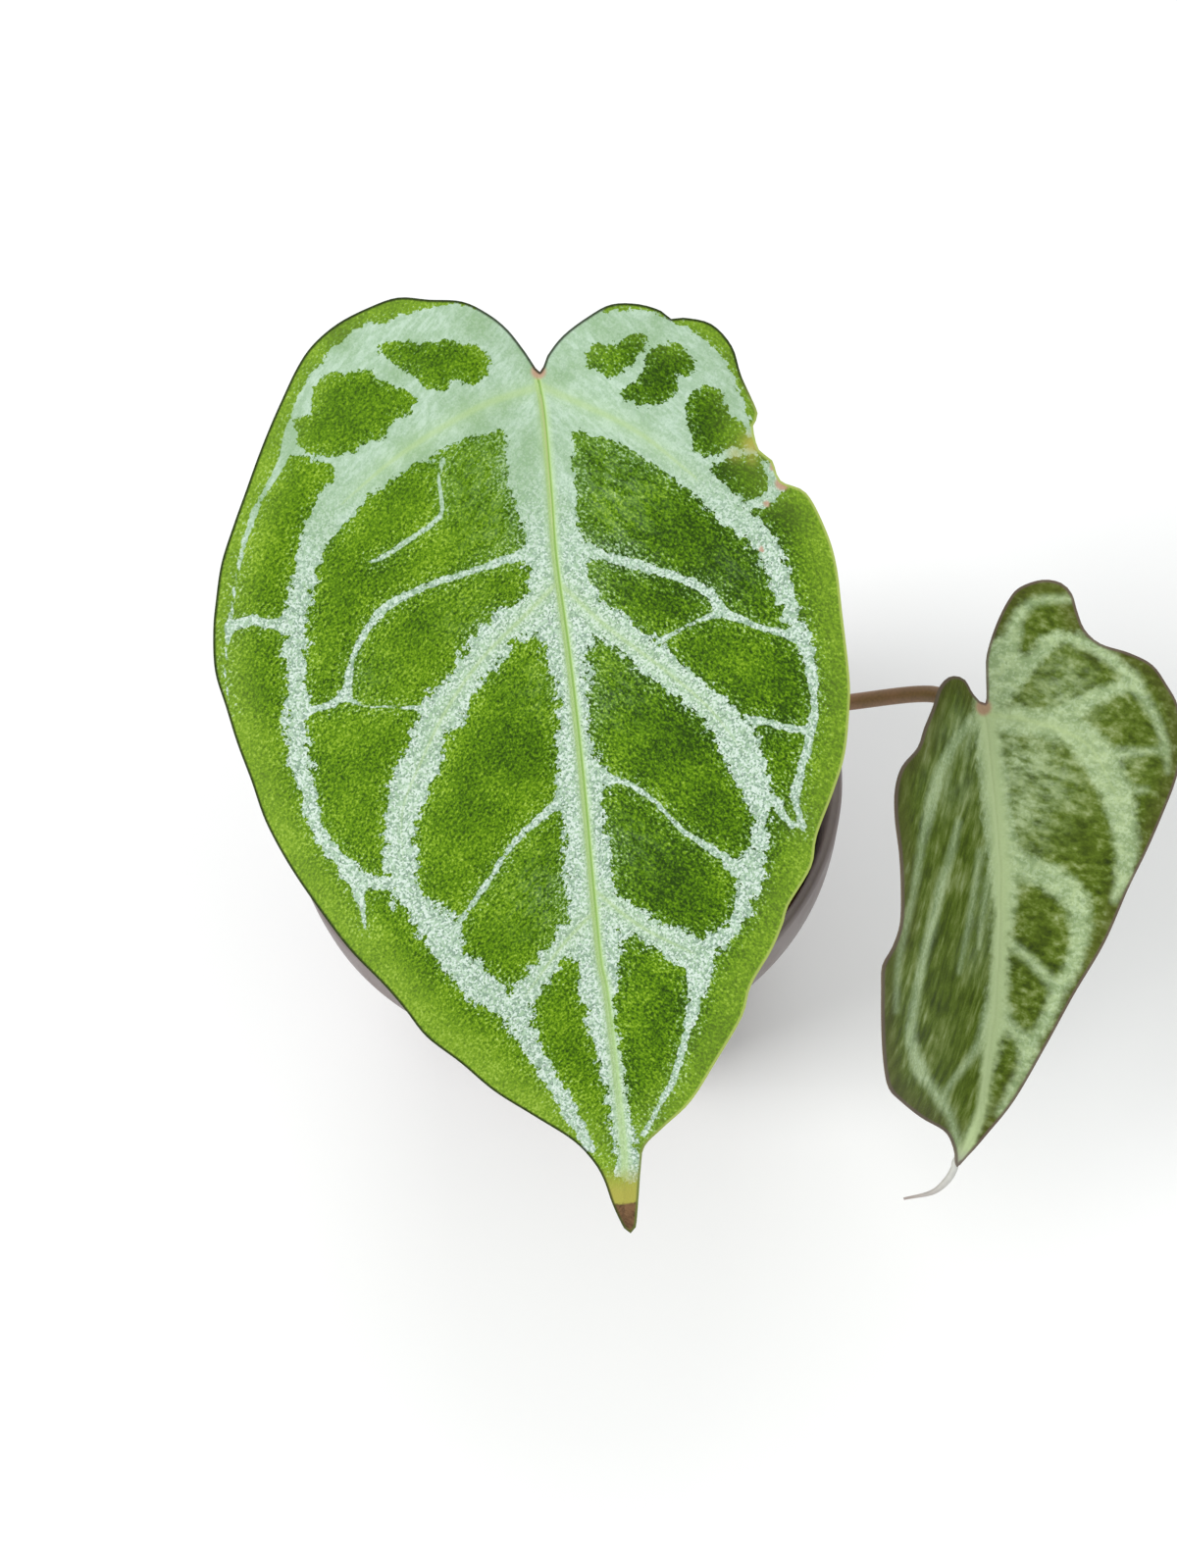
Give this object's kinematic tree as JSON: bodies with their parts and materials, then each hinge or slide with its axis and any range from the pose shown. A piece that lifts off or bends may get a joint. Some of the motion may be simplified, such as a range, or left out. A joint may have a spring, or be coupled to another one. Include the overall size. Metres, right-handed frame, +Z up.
{
  "type": "potted silver blush anthurium",
  "caption": "Small aroid house plant in a tapered nursery pot of bark mix: heart-shaped green leaves with broad silver veins on long brown stalks from a short rooted stem.",
  "frame": {"origin": "the middle of the pot's foot, on the plane that it stands on", "axes": "+Z up, +X to the plant's right as seen from its front, where the small leaf is, and +Y to the back; the large leaf's tip points to -Y"},
  "size_m": [0.1746, 0.1722, 0.2159],
  "materials": {
    "pot": "taupe polypropylene, satin",
    "potting_mix": "dark bark chips, rough",
    "stem": "olive green and tan, fibrous",
    "bract": "dry, papery, tan",
    "petiole": "brown with an olive tint, satin",
    "leaf_large": "velvety green with broad silver veins",
    "leaf_small": "darker green with silver veins"
  },
  "bodies": {
    "root": {"pot": "pot", "potting_mix": "potting_mix", "stem": "stem", "bract_large": "bract", "bract_small": "bract", "petiole_large": "petiole", "petiole_small": "petiole", "leaf_large": "leaf_large", "leaf_small": "leaf_small"}
  },
  "joints": []
}
